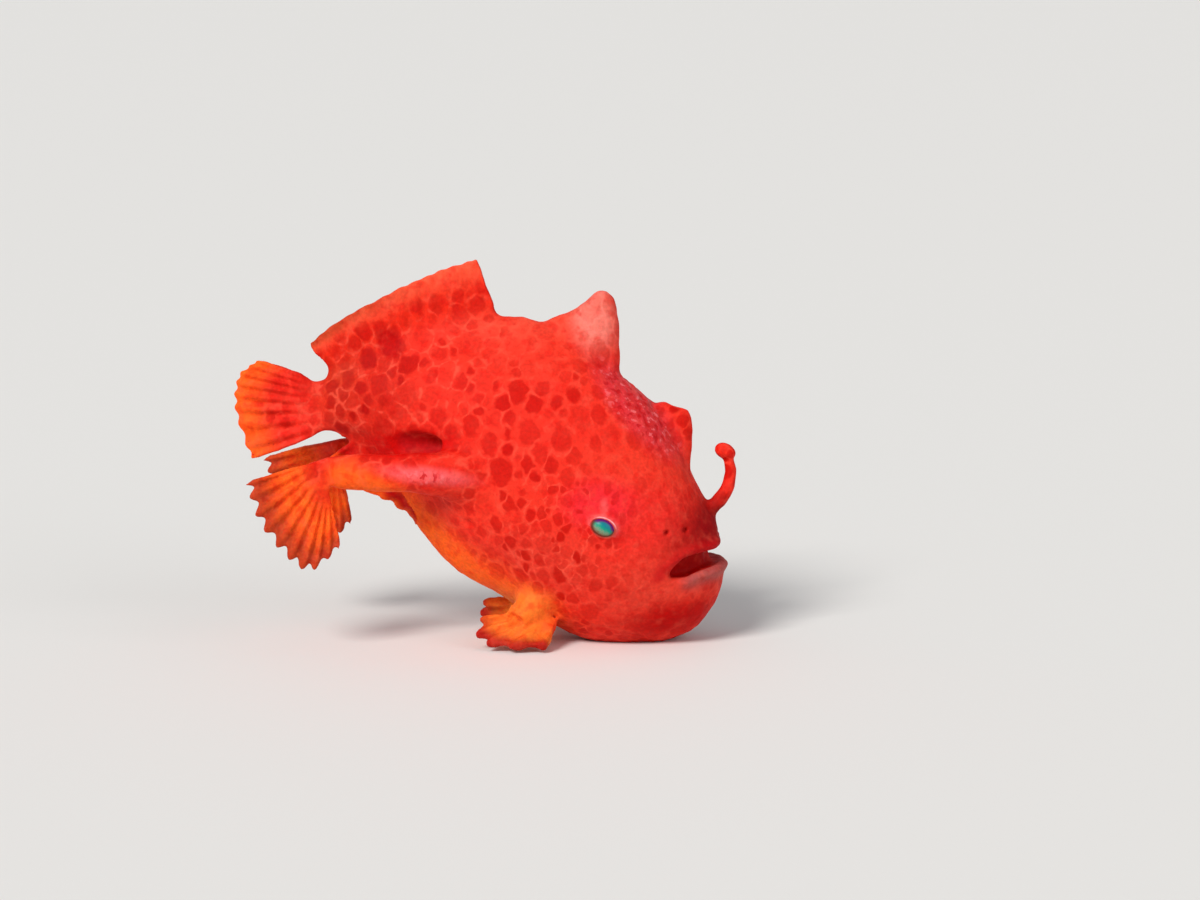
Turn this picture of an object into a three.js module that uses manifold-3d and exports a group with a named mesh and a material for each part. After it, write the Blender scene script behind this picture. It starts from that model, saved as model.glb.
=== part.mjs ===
// A young frogfish, life size, at rest on its throat and its two foot-like pelvic fins.
// Millimetres, +Z up. The fish looks along +X with its right flank on the -Y side, and
// the origin is on the floor below the middle of its length.
// Shapes are drawn in the fish's own axes, x to the snout and z to the back, and are then
// pitched head down. Numbers marked "own axes" are measured there.

import * as THREE from 'three';
import { mergeVertices } from 'three/addons/utils/BufferGeometryUtils.js';
import Module from 'manifold-3d';

const wasm = await Module();
wasm.setup();

// Driving sizes
const PITCH = THREE.MathUtils.degToRad(24);
const CENTRE_HEIGHT = 5.67;
const GAP = 0.3;
const EYE_GAP = 0.16;
const MEMBRANE = 0.5;
const EDGE = 0.34;
const RAY_RELIEF = 0.16;
const RIGHT = -1;
const LEFT = 1;

// Slices of the body from the lips to the tail root, own axes: a point on the back,
// a point on the belly and the half-width between them
const BODY = [
  [6.98, -0.50, 6.98, -0.50, 0.00],
  [6.48, 0.02, 7.18, -1.26, 0.85],
  [6.20, 0.56, 7.16, -1.98, 1.28],
  [5.60, 1.00, 6.94, -2.78, 1.62],
  [4.95, 1.50, 6.30, -3.44, 1.92],
  [4.20, 2.20, 5.26, -3.98, 2.22],
  [2.82, 3.06, 4.00, -4.36, 2.44],
  [1.42, 3.48, 2.60, -4.36, 2.50],
  [0.05, 3.84, 1.15, -4.18, 2.40],
  [-1.30, 3.84, -0.42, -4.00, 2.12],
  [-2.45, 3.42, -1.75, -3.40, 1.74],
  [-3.75, 2.56, -2.98, -2.58, 1.30],
  [-4.95, 1.34, -4.10, -1.98, 0.90],
  [-5.90, 0.20, -5.02, -1.72, 0.60],
  [-6.35, -0.32, -5.62, -1.78, 0.42],
];
const WIDEST = 0.46;
const RINGS_PER_SLICE = 3;
const RING_POINTS = 32;

// The hump of the third dorsal spine and the low crest of the second, own axes: each
// slice has a point on the front edge, a point on the rear edge and the half-width
const THIRD_SPINE = [
  [2.00, 2.55, -1.75, 3.10, 0.80],
  [1.80, 3.25, -0.95, 3.92, 0.62],
  [1.45, 4.10, -0.36, 4.52, 0.50],
  [1.08, 4.85, -0.02, 5.02, 0.38],
  [0.74, 5.34, 0.14, 5.38, 0.24],
  [0.40, 5.50, 0.40, 5.50, 0.00],
];
const SECOND_SPINE = [
  [5.00, 1.00, 2.40, 2.40, 0.44],
  [4.84, 1.70, 2.90, 3.00, 0.38],
  [4.62, 2.35, 3.35, 3.14, 0.32],
  [4.40, 2.85, 3.72, 3.16, 0.22],
  [4.06, 3.25, 4.06, 3.25, 0.00],
];

// The eye, own axes
const EYE = {
  forward: 3.03,
  up: -0.69,
  ball: 0.36,
  proud: 0.06,
  brow: 0.85,
  browFlat: 0.8,
  browRise: 0.18,
};

// The mouth line from its corner to the front of the lips, own axes
const MOUTH = [[5.46, -1.34], [5.92, -0.78], [6.48, -0.4], [7.3, 0.0]];
const MOUTH_OPEN = 0.34;
const MOUTH_DEPTH = 0.6;
const LIP_WIDTH = 0.95;
const LIP_RISE = 0.12;
const NOSTRILS = [[5.35, 0.1], [4.85, -0.15]];
const NOSTRIL = 0.14;
const GILL_PORE = { forward: -0.7, up: -2.35, radius: 0.24 };
const ARMPIT = { forward: -3.0, up: -0.9, radii: [1.2, 0.42, 0.4] };

// The parting cuts that divide the body, own axes: a point high and a point low on each
const NECK_CUT = { high: [2.15, 3.4], low: [0.4, -4.2] };
const TAIL_CUT = { high: [-5.1, 1.2], low: [-4.35, -1.9] };

// Fins in the middle plane, own axes: the root line, the outer margin, the ray count and
// how far the membrane falls short of the ray tips, as a share of the ray
const SOFT_DORSAL = {
  root: [[-1.95, 3.1], [-3.7, 2.1], [-4.9, 0.9], [-6.1, -0.2]],
  margin: [[-3.6, 4.85], [-4.44, 4.1], [-5.32, 3.1], [-6.45, 1.7], [-7.1, 0.5]],
  rays: 13,
  scallop: 0.05,
};
const ANAL = {
  root: [[-1.9, -2.5], [-3.1, -2.1], [-4.6, -1.5]],
  margin: [[-2.35, -3.25], [-3.3, -3.05], [-4.35, -2.95], [-5.2, -2.6]],
  rays: 7,
  scallop: 0.08,
};
const CAUDAL = {
  root: [[-6.05, -0.45], [-5.9, -1.0], [-5.45, -1.6]],
  margin: [[-8.4, -0.65], [-8.72, -1.4], [-8.35, -2.4], [-7.35, -3.5]],
  rays: 9,
  scallop: 0.06,
};

// The lure on its short rod, laid back over the forehead, own axes
const ROD = [[5.75, 0.45], [6.1, 1.3], [6.0, 2.05], [5.6, 2.55]];
const ROD_RADIUS = [0.26, 0.15];
const LURE_RADIUS = 0.27;

// The arm of the pectoral fin, own axes, right side: path from shoulder to wrist, its
// half-height and half-width along the way, and the direction its height is measured in
const ARM = {
  path: [
    [-0.14, -1.05, -0.85],
    [-1.4, -1.78, -1.12],
    [-2.66, -2.08, -1.55],
    [-3.9, -2.08, -2.06],
    [-4.8, -1.95, -2.42],
  ],
  high: [0.95, 0.78, 0.62, 0.56, 0.5],
  wide: [0.7, 0.62, 0.52, 0.46, 0.38],
  upright: [0, 0, 1],
};

// The hand of the pectoral fin, own axes, right side
const HAND = {
  root: [[-4.76, -2.0, -3.06], [-5.06, -1.97, -2.66], [-5.31, -1.95, -2.26]],
  margin: [
    [-3.75, -2.35, -4.5],
    [-4.25, -2.65, -5.4],
    [-5.25, -2.85, -5.25],
    [-6.35, -2.8, -4.6],
    [-7.08, -2.6, -3.8],
  ],
  rays: 10,
  scallop: 0.12,
};

// The pelvic fin, right side: a short ankle in own axes, and the toes from the ankle to
// the floor in level axes
const ANKLE = {
  path: [[2.3, -0.7, -3.0], [2.2, -1.2, -3.85], [1.95, -1.5, -4.45]],
  high: [0.75, 0.58, 0.42],
  wide: [0.8, 0.62, 0.5],
  upright: [1, 0, 0],
};
const FOOT = {
  root: [[0.3, -1.3, 0.95], [0.65, -1.45, 0.75], [1.05, -1.5, 0.6]],
  margin: [
    [-1.25, -1.35, 0.85],
    [-1.35, -1.75, 0.42],
    [-1.0, -2.15, 0.2],
    [-0.2, -2.45, 0.17],
    [0.7, -2.45, 0.17],
  ],
  rays: 5,
  scallop: 0.16,
};

const FIN_ROWS = 4;
const COLUMNS_PER_RAY = 4;

// Catmull-Rom value at t from 0 to 1 through evenly spaced values
function blend(values, t) {
  const last = values.length - 1;
  const i = Math.min(Math.floor(t * last), last - 1);
  const w = t * last - i;
  const a = values[Math.max(i - 1, 0)];
  const b = values[i];
  const c = values[i + 1];
  const d = values[Math.min(i + 2, last)];
  return b + 0.5 * w * (c - a + w * (2 * a - 5 * b + 4 * c - d + w * (3 * (b - c) + d - a)));
}

function column(rows, index, t) {
  return blend(rows.map(row => row[index]), t);
}

// A closed triangle mesh as a solid
function solidOf(points, triangles) {
  const geometry = new THREE.BufferGeometry();
  const positions = new Float32Array(points.flatMap(p => [p.x, p.y, p.z]));
  geometry.setAttribute('position', new THREE.BufferAttribute(positions, 3));
  geometry.setIndex(triangles.flat());
  return solidFrom(geometry);
}

function solidFrom(geometry) {
  geometry.deleteAttribute('normal');
  geometry.deleteAttribute('uv');
  const merged = mergeVertices(geometry, 1e-5);
  const vertProperties = merged.attributes.position.array;
  const triVerts = new Uint32Array(merged.index.array);
  return new wasm.Manifold(new wasm.Mesh({ numProp: 3, vertProperties, triVerts }));
}

// Rings of points joined into a tube and closed at both ends
function tube(rings) {
  const count = rings[0].length;
  const points = rings.flat();
  const triangles = [];
  for (let i = 0; i < rings.length - 1; i += 1) {
    for (let j = 0; j < count; j += 1) {
      const k = (j + 1) % count;
      const [a, b] = [i * count + j, i * count + k];
      const [c, d] = [a + count, b + count];
      triangles.push([a, b, d], [a, d, c]);
    }
  }
  const firstPole = points.push(middle(rings[0])) - 1;
  const lastPole = points.push(middle(rings.at(-1))) - 1;
  const lastStart = (rings.length - 1) * count;
  for (let j = 0; j < count; j += 1) {
    const k = (j + 1) % count;
    triangles.push([firstPole, k, j], [lastPole, lastStart + j, lastStart + k]);
  }
  return outward(solidOf(points, triangles.filter(t => !isFlat(t.map(n => points[n])))), points, triangles);
}

function middle(ring) {
  return ring.reduce((sum, p) => sum.add(p), new THREE.Vector3()).divideScalar(ring.length);
}

function isFlat([a, b, c]) {
  return a.distanceTo(b) < 1e-5 || b.distanceTo(c) < 1e-5 || c.distanceTo(a) < 1e-5;
}

function outward(solid, points, triangles) {
  if (solid.volume() > 0) return solid;
  const turned = triangles.filter(t => !isFlat(t.map(n => points[n]))).map(([a, b, c]) => [a, c, b]);
  return solidOf(points, turned);
}

// A solid with oval slices that stand between two edge lines in the middle plane
function sliced(rows, grow = 0, steps = RINGS_PER_SLICE, ringPoints = RING_POINTS) {
  const rings = [];
  const count = (rows.length - 1) * steps;
  for (let i = 0; i <= count; i += 1) {
    const t = i / count;
    const [fx, fz, rx, rz, half] = [0, 1, 2, 3, 4].map(n => column(rows, n, t));
    const front = new THREE.Vector3(fx, 0, fz);
    const rear = new THREE.Vector3(rx, 0, rz);
    const centre = rear.clone().lerp(front, WIDEST);
    rings.push(ovalRing(centre, front.sub(centre), rear.sub(centre), Math.max(half, 0), ringPoints));
  }
  return tube(grow ? grown(rings, grow) : rings);
}

function ovalRing(centre, up, down, half, count) {
  const ring = [];
  for (let j = 0; j < count; j += 1) {
    const angle = (2 * Math.PI * j) / count;
    const rise = Math.cos(angle);
    const point = centre.clone().addScaledVector(rise > 0 ? up : down, Math.abs(rise));
    point.y = half * Math.sin(angle);
    ring.push(point);
  }
  return ring;
}

// Rings pushed out along the surface they make, for a solid larger by an even skin. The
// end that closes to a point moves along the mean normal of the ring beside it.
function grown(rings, amount) {
  const count = rings[0].length;
  const normals = rings.map((ring, i) => ring.map((point, j) => {
    const before = rings[Math.max(i - 1, 0)][j];
    const after = rings[Math.min(i + 1, rings.length - 1)][j];
    const around = ring[(j + 1) % count].clone().sub(ring[(j + count - 1) % count]);
    return around.cross(after.clone().sub(before)).normalize();
  }));
  normals[0].fill(middle(normals[1]).normalize());
  return rings.map((ring, i) => (
    ring.map((point, j) => point.clone().addScaledVector(normals[i][j], amount))
  ));
}

// A tapered limb along a path, oval across, its height measured along the upright
function limb({ path, high, wide, upright }, ringPoints = 18) {
  const curve = new THREE.CatmullRomCurve3(path.map(point => new THREE.Vector3(...point)));
  const up = new THREE.Vector3(...upright);
  const steps = (path.length - 1) * 3;
  const rings = [];
  for (let i = 0; i <= steps; i += 1) {
    const t = i / steps;
    const centre = curve.getPoint(t);
    const tangent = curve.getTangent(t);
    const across = tangent.clone().cross(up).normalize();
    const rise = across.clone().cross(tangent).normalize();
    const ring = [];
    for (let j = 0; j < ringPoints; j += 1) {
      const angle = (2 * Math.PI * j) / ringPoints;
      ring.push(centre.clone()
        .addScaledVector(rise, blend(high, t) * Math.cos(angle))
        .addScaledVector(across, blend(wide, t) * Math.sin(angle)));
    }
    rings.push(ring);
  }
  return tube(rings);
}

// A fin between a root line and a margin, with its rays as ridges in both faces.
// Both faces are split into triangles alike.
function fin({ root, margin, rays, scallop }) {
  const columns = (rays - 1) * COLUMNS_PER_RAY;
  const at = (line, t) => new THREE.Vector3(
    column(line, 0, t),
    line[0].length > 2 ? column(line, 1, t) : 0,
    column(line, line[0].length - 1, t),
  );
  const point = (u, v) => {
    const ridge = 0.5 + 0.5 * Math.cos(2 * Math.PI * u * (rays - 1));
    const reach = v * (1 - scallop * (1 - ridge));
    return at(root, u).lerp(at(margin, u), reach);
  };
  const half = (u, v) => {
    const ridge = 0.5 + 0.5 * Math.cos(2 * Math.PI * u * (rays - 1));
    return 0.5 * (MEMBRANE + (EDGE - MEMBRANE) * v * v + RAY_RELIEF * ridge * (1 - 0.5 * v));
  };
  const faces = [[], []];
  for (let i = 0; i <= columns; i += 1) {
    for (let j = 0; j <= FIN_ROWS; j += 1) {
      const [u, v] = [i / columns, j / FIN_ROWS];
      const along = point(Math.min(u + 0.01, 1), v).sub(point(Math.max(u - 0.01, 0), v));
      const outwards = at(margin, u).sub(at(root, u));
      const normal = along.cross(outwards).normalize();
      const middlePoint = point(u, v);
      faces[0].push(middlePoint.clone().addScaledVector(normal, half(u, v)));
      faces[1].push(middlePoint.clone().addScaledVector(normal, -half(u, v)));
    }
  }
  const rows = FIN_ROWS + 1;
  const other = faces[0].length;
  const triangles = [];
  for (let i = 0; i < columns; i += 1) {
    for (let j = 0; j < FIN_ROWS; j += 1) {
      const [a, b] = [i * rows + j, i * rows + j + 1];
      const [c, d] = [a + rows, b + rows];
      triangles.push([a, c, d], [a, d, b]);
      triangles.push([other + a, other + d, other + c], [other + a, other + b, other + d]);
    }
  }
  const rim = [];
  for (let i = 0; i < columns; i += 1) {
    rim.push([i * rows, (i + 1) * rows]);
    rim.push([(i + 1) * rows + FIN_ROWS, i * rows + FIN_ROWS]);
  }
  for (let j = 0; j < FIN_ROWS; j += 1) {
    rim.push([columns * rows + j, columns * rows + j + 1]);
    rim.push([j + 1, j]);
  }
  for (const [a, b] of rim) triangles.push([b, a, other + a], [b, other + a, other + b]);
  const points = [...faces[0], ...faces[1]];
  return outward(solidOf(points, triangles), points, triangles);
}

// A ball or an egg shape, its long axis tilted from the snout's line
function ball(radius, [x, y, z], [sx, sy, sz] = [1, 1, 1], detail = 18, tilt = 0) {
  const geometry = new THREE.SphereGeometry(radius, detail, detail / 2);
  geometry.scale(sx, sy, sz);
  geometry.rotateY(tilt);
  geometry.translate(x, y, z);
  return solidFrom(geometry);
}

// The half-width of the body at a point of the side view
function flankAt(x, z) {
  let best = { miss: Infinity, half: 0 };
  for (let i = 1; i <= 400; i += 1) {
    const t = i / 400;
    const [bx, bz, vx, vz, half] = [0, 1, 2, 3, 4].map(n => column(BODY, n, t));
    const length = Math.hypot(bx - vx, bz - vz);
    const share = ((x - vx) * (bx - vx) + (z - vz) * (bz - vz)) / length ** 2;
    const miss = Math.abs((x - vx) * (bz - vz) - (z - vz) * (bx - vx)) / length;
    if (miss < best.miss && share > 0 && share < 1) {
      const rise = share > WIDEST ? (share - WIDEST) / (1 - WIDEST) : (WIDEST - share) / WIDEST;
      best = { miss, half: half * Math.sqrt(1 - rise * rise) };
    }
  }
  return best.half;
}

// A flat slab across the whole body, through two points of the side view
function slab({ high, low }, thickness) {
  const [dx, dz] = [high[0] - low[0], high[1] - low[1]];
  const geometry = new THREE.BoxGeometry(thickness, 12, Math.hypot(dx, dz) + 4);
  geometry.rotateY(Math.atan2(dx, dz));
  geometry.translate((high[0] + low[0]) / 2, 0, (high[1] + low[1]) / 2);
  return solidFrom(geometry);
}

// The side of a parting cut that holds the snout
function aheadOf({ high, low }) {
  const [dx, dz] = [high[0] - low[0], high[1] - low[1]];
  const geometry = new THREE.BoxGeometry(20, 12, Math.hypot(dx, dz) + 8);
  geometry.translate(10, 0, 0);
  geometry.rotateY(Math.atan2(dx, dz));
  geometry.translate((high[0] + low[0]) / 2, 0, (high[1] + low[1]) / 2);
  return solidFrom(geometry);
}

// A band that follows the mouth line across the whole head
function mouthBand(width) {
  const curve = new THREE.SplineCurve(MOUTH.map(([x, z]) => new THREE.Vector2(x, z)));
  const steps = 10;
  const outline = [[], []];
  for (let i = 0; i <= steps; i += 1) {
    const t = i / steps;
    const centre = curve.getPoint(t);
    const tangent = curve.getTangent(t);
    const half = 0.5 * width * Math.sqrt(Math.min(1, 0.04 + 4 * t));
    outline[0].push(new THREE.Vector2(centre.x - tangent.y * half, centre.y + tangent.x * half));
    outline[1].unshift(new THREE.Vector2(centre.x + tangent.y * half, centre.y - tangent.x * half));
  }
  const shape = new THREE.Shape([...outline[0], ...outline[1]]);
  const geometry = new THREE.ExtrudeGeometry(shape, { depth: 8, bevelEnabled: false });
  geometry.rotateX(Math.PI / 2);
  geometry.translate(0, 4, 0);
  return solidFrom(geometry);
}

const body = sliced(BODY);
const bodyRoom = sliced(BODY, GAP);

// Lips raised on both sides of the mouth line, then the mouth as a groove between them
function withMouth(solid) {
  const lips = sliced(BODY, LIP_RISE).intersect(mouthBand(LIP_WIDTH));
  const setBack = BODY.map(([fx, fz, rx, rz, half]) => (
    [fx - MOUTH_DEPTH, fz, rx - MOUTH_DEPTH, rz, Math.max(half - MOUTH_DEPTH, 0)]
  ));
  const groove = mouthBand(MOUTH_OPEN).subtract(sliced(setBack));
  return solid.add(lips).subtract(groove);
}

function eyeCentre(side) {
  return [EYE.forward, side * (flankAt(EYE.forward, EYE.up) + EYE.browRise + EYE.proud - EYE.ball), EYE.up];
}

function withEyes(solid) {
  let result = solid;
  for (const side of [RIGHT, LEFT]) {
    const [x, y, z] = eyeCentre(side);
    const browY = side * (flankAt(x, z) + EYE.browRise - EYE.brow * EYE.browFlat);
    const brow = ball(EYE.brow, [x, browY, z], [1, EYE.browFlat, 1]);
    result = result.add(brow).subtract(ball(EYE.ball + EYE_GAP, [x, y, z], [1, 1, 1], 14));
  }
  return result;
}

function onFlank(x, side, z) {
  return [x, side * flankAt(x, z), z];
}

// Nostrils, gill pores and the hollows above the arms
function withPits(solid) {
  let result = solid;
  for (const side of [RIGHT, LEFT]) {
    for (const [x, z] of NOSTRILS) {
      result = result.subtract(ball(NOSTRIL, onFlank(x, side, z), [1, 2, 1], 10));
    }
    const porePlace = onFlank(GILL_PORE.forward, side, GILL_PORE.up);
    const pitPlace = onFlank(ARMPIT.forward, side, ARMPIT.up);
    result = result.subtract(ball(GILL_PORE.radius, porePlace, [1.3, 1.2, 0.8], 12));
    result = result.subtract(ball(1, pitPlace, ARMPIT.radii, 18, -PITCH));
  }
  return result;
}

function lure() {
  const path = ROD.map(([x, z]) => [x, 0, z]);
  const taper = ROD.map((_, i) => THREE.MathUtils.lerp(...ROD_RADIUS, i / (ROD.length - 1)));
  const [tipX, tipZ] = ROD.at(-1);
  const rod = limb({ path, high: taper, wide: taper, upright: [1, 0, 0.5] }, 10);
  return rod.add(ball(LURE_RADIUS, [tipX, 0, tipZ], [1.25, 1, 0.9], 12));
}

const flesh = withPits(withEyes(withMouth(body)));
const aheadOfNeck = aheadOf(NECK_CUT);
const aheadOfTail = aheadOf(TAIL_CUT);
const parted = flesh.subtract(slab(NECK_CUT, GAP)).subtract(slab(TAIL_CUT, GAP));

// The fish's own axes pitched head down onto the floor
function pitched(solid) {
  const geometry = geometryOf(solid);
  geometry.rotateY(PITCH);
  geometry.translate(0, 0, CENTRE_HEIGHT);
  return solidFrom(geometry);
}

function geometryOf(solid) {
  const { vertProperties, triVerts } = solid.getMesh();
  const geometry = new THREE.BufferGeometry();
  geometry.setAttribute('position', new THREE.BufferAttribute(new Float32Array(vertProperties), 3));
  geometry.setIndex([...triVerts]);
  return geometry;
}

// What a solid leaves above the floor, its largest closed surface
function aboveFloor(solid) {
  const underground = solidFrom(new THREE.BoxGeometry(40, 40, 10).translate(0, 0, -5));
  const pieces = solid.subtract(underground).decompose();
  return geometryOf(pieces.reduce((a, b) => (a.volume() > b.volume() ? a : b)));
}

function mirrored(geometry) {
  const copy = geometry.clone().scale(1, -1, 1);
  const corners = copy.index.array;
  for (let i = 0; i < corners.length; i += 3) {
    [corners[i + 1], corners[i + 2]] = [corners[i + 2], corners[i + 1]];
  }
  return copy;
}

function meshOf(name, geometry, look) {
  geometry.computeVertexNormals();
  const mesh = new THREE.Mesh(geometry, new THREE.MeshStandardMaterial({ ...look, flatShading: true }));
  mesh.name = name;
  return mesh;
}

// Looks of the parts
const RED = { color: 0xd9301c, roughness: 0.35, metalness: 0 };
const ORANGE = { color: 0xe8601c, roughness: 0.4, metalness: 0 };
const CRIMSON = { color: 0xa81428, roughness: 0.3, metalness: 0 };
const IRIS = { color: 0x0e7c74, roughness: 0.08, metalness: 0 };

const MIDDLE_PARTS = {
  head: [parted.intersect(aheadOfNeck), RED],
  torso: [parted.subtract(aheadOfNeck).intersect(aheadOfTail), RED],
  tail: [parted.subtract(aheadOfNeck).subtract(aheadOfTail), RED],
  second_dorsal_spine: [sliced(SECOND_SPINE, 0, 3, 16).subtract(bodyRoom), CRIMSON],
  third_dorsal_spine: [sliced(THIRD_SPINE, 0, 3, 20).subtract(bodyRoom), RED],
  illicium: [lure().subtract(bodyRoom), CRIMSON],
  soft_dorsal_fin: [fin(SOFT_DORSAL).subtract(bodyRoom), RED],
  anal_fin: [fin(ANAL).subtract(bodyRoom), RED],
  caudal_fin: [fin(CAUDAL).subtract(bodyRoom), RED],
};
const RIGHT_PARTS = {
  eye: [pitched(ball(EYE.ball, eyeCentre(RIGHT), [1, 1, 1], 14)), IRIS],
  pectoral_arm: [pitched(limb(ARM).subtract(bodyRoom)), RED],
  pectoral_fin: [pitched(fin(HAND)), ORANGE],
  pelvic_fin: [fin(FOOT).add(pitched(limb(ANKLE, 14))).subtract(pitched(bodyRoom)), ORANGE],
};

const fish = new THREE.Group();
for (const [name, [solid, look]] of Object.entries(MIDDLE_PARTS)) {
  fish.add(meshOf(name, aboveFloor(pitched(solid)), look));
}
for (const [name, [solid, look]] of Object.entries(RIGHT_PARTS)) {
  const geometry = aboveFloor(solid);
  fish.add(meshOf(`${name}_left`, mirrored(geometry), look));
  fish.add(meshOf(`${name}_right`, geometry, look));
}

const box = new THREE.Box3().setFromObject(fish);
fish.position.x = -(box.min.x + box.max.x) / 2;

export default fish;
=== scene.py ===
# The young red frogfish as one soft skin with two eyes, on a pale floor.
# Shapes are drawn in millimetres in the fish's own axes, x to the snout and z to the back,
# then pitched head down and put where the frame's solids are, in metres.

import math

import bmesh
import bpy
import numpy as np
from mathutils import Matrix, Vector, noise
from mathutils.bvhtree import BVHTree
from mathutils.kdtree import KDTree


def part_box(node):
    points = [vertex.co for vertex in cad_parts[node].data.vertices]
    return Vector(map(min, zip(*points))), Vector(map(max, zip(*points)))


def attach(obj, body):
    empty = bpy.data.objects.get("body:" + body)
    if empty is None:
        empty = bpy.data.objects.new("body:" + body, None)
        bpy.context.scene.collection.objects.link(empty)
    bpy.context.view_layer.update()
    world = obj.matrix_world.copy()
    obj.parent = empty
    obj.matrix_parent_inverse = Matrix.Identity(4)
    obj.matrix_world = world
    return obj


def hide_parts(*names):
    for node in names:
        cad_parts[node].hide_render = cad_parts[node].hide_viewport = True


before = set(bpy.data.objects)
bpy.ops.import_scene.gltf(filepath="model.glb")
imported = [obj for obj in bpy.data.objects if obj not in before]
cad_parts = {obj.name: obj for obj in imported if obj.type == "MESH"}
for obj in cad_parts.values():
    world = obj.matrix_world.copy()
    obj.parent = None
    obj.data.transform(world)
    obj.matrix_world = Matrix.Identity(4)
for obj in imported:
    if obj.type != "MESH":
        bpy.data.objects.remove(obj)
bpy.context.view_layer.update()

MM = 0.001

# Driving sizes, as in the part's source
PITCH = math.radians(24)
CENTRE_HEIGHT = 5.67
WIDEST = 0.46
RIGHT = -1
LEFT = 1

# Slices of the body, own axes: a point on the back, one on the belly, and the half-width
BODY = [
    [6.98, -0.50, 6.98, -0.50, 0.00],
    [6.48, 0.02, 7.18, -1.26, 0.85],
    [6.20, 0.56, 7.16, -1.98, 1.28],
    [5.60, 1.00, 6.94, -2.78, 1.62],
    [4.95, 1.50, 6.30, -3.44, 1.92],
    [4.20, 2.20, 5.26, -3.98, 2.22],
    [2.82, 3.06, 4.00, -4.36, 2.44],
    [1.42, 3.48, 2.60, -4.36, 2.50],
    [0.05, 3.84, 1.15, -4.18, 2.40],
    [-1.30, 3.84, -0.42, -4.00, 2.12],
    [-2.45, 3.42, -1.75, -3.40, 1.74],
    [-3.75, 2.56, -2.98, -2.58, 1.30],
    [-4.95, 1.34, -4.10, -1.98, 0.90],
    [-5.90, 0.20, -5.02, -1.72, 0.60],
    [-6.35, -0.32, -5.62, -1.78, 0.42],
]

# How much the rear body narrows towards its back and belly, over which share of its length
# it starts, and from which share of its height outwards
REAR_PINCH = 0.5
PINCH_ALONG = (0.5, 0.72)
PINCH_AROUND = (0.35, 1)

# The third and the second dorsal spine: points on the front and rear edge, half-width
THIRD_SPINE = [
    [2.00, 2.55, -1.75, 3.10, 0.80],
    [1.80, 3.25, -0.95, 3.92, 0.62],
    [1.45, 4.10, -0.36, 4.52, 0.50],
    [1.08, 4.85, -0.02, 5.02, 0.38],
    [0.74, 5.34, 0.14, 5.38, 0.24],
    [0.40, 5.50, 0.40, 5.50, 0.00],
]
SECOND_SPINE = [
    [5.00, 1.00, 2.40, 2.40, 0.44],
    [4.84, 1.70, 2.90, 3.00, 0.38],
    [4.62, 2.35, 3.35, 3.14, 0.32],
    [4.40, 2.85, 3.72, 3.16, 0.22],
    [4.06, 3.25, 4.06, 3.25, 0.00],
]

# The lure on its rod
ROD = [[5.75, 0.45], [6.1, 1.3], [6.0, 2.05], [5.6, 2.55]]
ROD_RADIUS = [0.26, 0.22, 0.18, 0.14]
LURE_RADIUS = 0.27

# Arms and ankles, right side: path, half-height, half-width and the upright direction
ARM = {
    "path": [
        [-0.14, -1.05, -0.85],
        [-1.4, -1.78, -1.12],
        [-2.66, -2.08, -1.55],
        [-3.9, -2.08, -2.06],
        [-4.86, -1.95, -2.49],
    ],
    "high": [0.95, 0.78, 0.62, 0.56, 0.5],
    "wide": [0.7, 0.62, 0.52, 0.46, 0.38],
    "upright": [0, 0, 1],
}
ANKLE = {
    "path": [[2.3, -0.7, -3.0], [2.2, -1.2, -3.85], [1.95, -1.5, -4.45]],
    "high": [0.75, 0.58, 0.42],
    "wide": [0.8, 0.62, 0.5],
    "upright": [1, 0, 0],
}

# Fins: root line, outer margin, ray count, how far the membrane falls short of the ray
# tips, how far each ray stands out, and how much of the shortfall the ray tips are spared
SOFT_DORSAL = {
    "root": [[-1.95, 0, 3.1], [-3.7, 0, 2.1], [-4.9, 0, 0.9], [-6.1, 0, -0.2]],
    "margin": [[-3.6, 0, 4.85], [-4.44, 0, 4.1], [-5.32, 0, 3.1], [-6.45, 0, 1.7], [-7.1, 0, 0.5]],
    "rays": 13,
    "scallop": 0.05,
    "relief": 0.035,
    "notch": 0.35,
}
ANAL = {
    "root": [[-1.9, 0, -2.5], [-3.1, 0, -2.1], [-4.6, 0, -1.5]],
    "margin": [[-2.35, 0, -3.25], [-3.3, 0, -3.05], [-4.35, 0, -2.95], [-5.2, 0, -2.6]],
    "rays": 7,
    "scallop": 0.08,
    "relief": 0.04,
    "notch": 0.6,
}
CAUDAL = {
    "root": [[-6.05, 0, -0.45], [-5.9, 0, -1.0], [-5.45, 0, -1.6]],
    "margin": [[-8.4, 0, -0.65], [-8.72, 0, -1.4], [-8.35, 0, -2.4], [-7.35, 0, -3.5]],
    "rays": 9,
    "scallop": 0.06,
    "relief": 0.05,
    "notch": 0.6,
}
HAND = {
    "root": [[-4.76, -2.0, -3.06], [-5.06, -1.97, -2.66], [-5.31, -1.95, -2.26]],
    "margin": [
        [-3.75, -2.35, -4.5],
        [-4.25, -2.65, -5.4],
        [-5.25, -2.85, -5.25],
        [-6.35, -2.8, -4.6],
        [-7.08, -2.6, -3.8],
    ],
    "rays": 10,
    "scallop": 0.12,
    "relief": 0.06,
    "notch": 0.8,
}
FOOT = {
    "root": [[0.3, -1.3, 0.95], [0.65, -1.45, 0.75], [1.05, -1.5, 0.6]],
    "margin": [
        [-1.25, -1.35, 0.85],
        [-1.35, -1.75, 0.42],
        [-1.0, -2.15, 0.2],
        [-0.2, -2.45, 0.17],
        [0.7, -2.45, 0.17],
    ],
    "rays": 5,
    "scallop": 0.16,
    "relief": 0.07,
    "notch": 0.8,
}

# Every fin, and whether its points are in level axes already
FINS = [(SOFT_DORSAL, False), (ANAL, False), (CAUDAL, False), (HAND, False), (FOOT, True)]

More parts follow.
